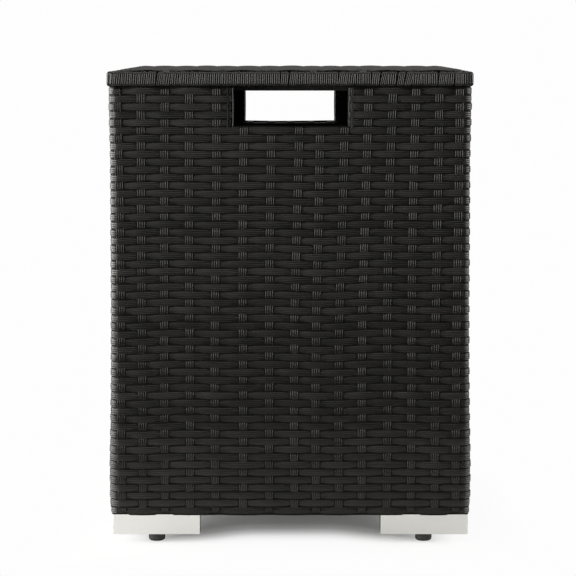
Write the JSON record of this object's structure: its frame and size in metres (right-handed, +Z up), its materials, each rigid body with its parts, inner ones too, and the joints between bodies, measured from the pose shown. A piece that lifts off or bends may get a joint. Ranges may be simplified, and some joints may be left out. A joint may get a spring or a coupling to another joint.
{
  "type": "propane tank cover table",
  "caption": "Square woven resin side table, open underneath to hide a gas bottle, with hand slots, levelling corner feet and a lift-off lid.",
  "frame": {"origin": "on the floor, under the middle of the cover", "axes": "+Z up, the front wall with the wider hand slot faces -Y, +X to the right when looking at the front"},
  "size_m": [0.413, 0.413, 0.541],
  "materials": {
    "wicker": "black resin wicker, satin, finely ribbed",
    "frame_coat": "black powder coat",
    "foot_metal": "satin silver",
    "pad_plastic": "matt black",
    "board_paint": "black painted board",
    "screw_steel": "zinc plated"
  },
  "bodies": {
    "cover": {"post_front_left": "frame_coat", "post_front_right": "frame_coat", "post_back_left": "frame_coat", "post_back_right": "frame_coat", "bottom_rail_front": "frame_coat", "bottom_rail_back": "frame_coat", "bottom_rail_left": "frame_coat", "bottom_rail_right": "frame_coat", "top_rail_left": "frame_coat", "top_rail_right": "frame_coat", "top_rail_front_left": "frame_coat", "top_rail_front_right": "frame_coat", "top_rail_back_left": "frame_coat", "top_rail_back_right": "frame_coat", "upright_front_left": "frame_coat", "upright_front_right": "frame_coat", "upright_back_left": "frame_coat", "upright_back_right": "frame_coat", "slot_sill_front": "frame_coat", "slot_sill_back": "frame_coat", "woven_wall_front": "wicker", "woven_wall_right": "wicker", "woven_wall_back": "wicker", "woven_wall_left": "wicker", "foot_front_left": "foot_metal", "foot_front_right": "foot_metal", "foot_back_right": "foot_metal", "foot_back_left": "foot_metal", "foot_screw_front_left_front_leg": "screw_steel", "foot_screw_front_left_left_leg": "screw_steel", "foot_screw_front_right_right_leg": "screw_steel", "foot_screw_front_right_front_leg": "screw_steel", "foot_screw_back_right_back_leg": "screw_steel", "foot_screw_back_right_right_leg": "screw_steel", "foot_screw_back_left_left_leg": "screw_steel", "foot_screw_back_left_back_leg": "screw_steel"},
    "leveler_front_left_front_leg_body": {"leveler_front_left_front_leg": "pad_plastic"},
    "leveler_front_left_left_leg_body": {"leveler_front_left_left_leg": "pad_plastic"},
    "leveler_front_right_right_leg_body": {"leveler_front_right_right_leg": "pad_plastic"},
    "leveler_front_right_front_leg_body": {"leveler_front_right_front_leg": "pad_plastic"},
    "leveler_back_right_back_leg_body": {"leveler_back_right_back_leg": "pad_plastic"},
    "leveler_back_right_right_leg_body": {"leveler_back_right_right_leg": "pad_plastic"},
    "leveler_back_left_left_leg_body": {"leveler_back_left_left_leg": "pad_plastic"},
    "leveler_back_left_back_leg_body": {"leveler_back_left_back_leg": "pad_plastic"},
    "lid": {"lid_frame_front": "frame_coat", "lid_frame_back": "frame_coat", "lid_frame_left": "frame_coat", "lid_frame_right": "frame_coat", "lid_cross_bar_left": "frame_coat", "lid_cross_bar_right": "frame_coat", "lid_edge_binding": "wicker", "lid_woven_top": "wicker", "lid_board": "board_paint", "board_screw_front_left": "screw_steel", "board_screw_front_right": "screw_steel", "board_screw_back_left": "screw_steel", "board_screw_back_right": "screw_steel"}
  },
  "joints": [
    {"name": "leveler_front_left_front_leg_extend", "type": "slide", "parent": "cover", "child": "leveler_front_left_front_leg_body", "axis": [0, 0, 1], "range_m": [-0.01, 0]},
    {"name": "leveler_front_left_left_leg_extend", "type": "slide", "parent": "cover", "child": "leveler_front_left_left_leg_body", "axis": [0, 0, 1], "range_m": [-0.01, 0]},
    {"name": "leveler_front_right_right_leg_extend", "type": "slide", "parent": "cover", "child": "leveler_front_right_right_leg_body", "axis": [0, 0, 1], "range_m": [-0.01, 0]},
    {"name": "leveler_front_right_front_leg_extend", "type": "slide", "parent": "cover", "child": "leveler_front_right_front_leg_body", "axis": [0, 0, 1], "range_m": [-0.01, 0]},
    {"name": "leveler_back_right_back_leg_extend", "type": "slide", "parent": "cover", "child": "leveler_back_right_back_leg_body", "axis": [0, 0, 1], "range_m": [-0.01, 0]},
    {"name": "leveler_back_right_right_leg_extend", "type": "slide", "parent": "cover", "child": "leveler_back_right_right_leg_body", "axis": [0, 0, 1], "range_m": [-0.01, 0]},
    {"name": "leveler_back_left_left_leg_extend", "type": "slide", "parent": "cover", "child": "leveler_back_left_left_leg_body", "axis": [0, 0, 1], "range_m": [-0.01, 0]},
    {"name": "leveler_back_left_back_leg_extend", "type": "slide", "parent": "cover", "child": "leveler_back_left_back_leg_body", "axis": [0, 0, 1], "range_m": [-0.01, 0]},
    {"name": "lid_lift", "type": "slide", "parent": "cover", "child": "lid", "axis": [0, 0, 1], "range_m": [0, 0.25]}
  ]
}
